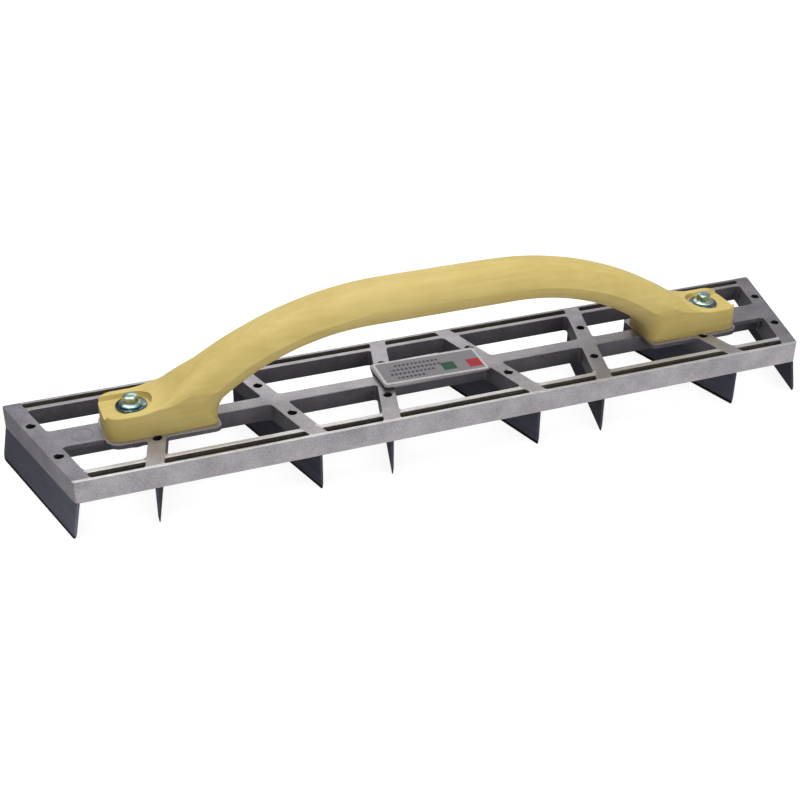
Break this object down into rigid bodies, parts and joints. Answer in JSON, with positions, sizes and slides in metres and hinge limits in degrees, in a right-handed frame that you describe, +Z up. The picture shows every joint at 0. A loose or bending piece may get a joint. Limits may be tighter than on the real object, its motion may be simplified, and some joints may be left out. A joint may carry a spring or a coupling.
{
  "type": "lattice scraper plane",
  "caption": "Long plasterer's lattice scraper: cast light-alloy lattice, slanted steel scraper blades underneath, bow wooden handle on flanged bolts.",
  "frame": {"origin": "centre of the tool on the plane of the blade edges", "axes": "+X along the tool, to the right as the tool is seen with the short rail in front; +Y to the back, towards the long rail; +Z up, to the handle"},
  "size_m": [0.5082, 0.094, 0.1008],
  "materials": {
    "cast_alloy": "as cast, satin",
    "blade_steel": "dark scraper steel",
    "lacquered_wood": "clear satin lacquer",
    "zinc_steel": "bright zinc",
    "label_foil": "printed silver foil"
  },
  "bodies": {
    "root": {"frame_casting": "cast_alloy", "scraper_blade_1": "blade_steel", "scraper_blade_2": "blade_steel", "scraper_blade_3": "blade_steel", "scraper_blade_4": "blade_steel", "scraper_blade_5": "blade_steel", "scraper_blade_6": "blade_steel", "scraper_blade_7": "blade_steel", "scraper_blade_8": "blade_steel", "handle": "lacquered_wood", "bolt_left": "zinc_steel", "bolt_right": "zinc_steel", "washer_left": "zinc_steel", "washer_right": "zinc_steel", "label_plate": "label_foil"}
  },
  "joints": []
}
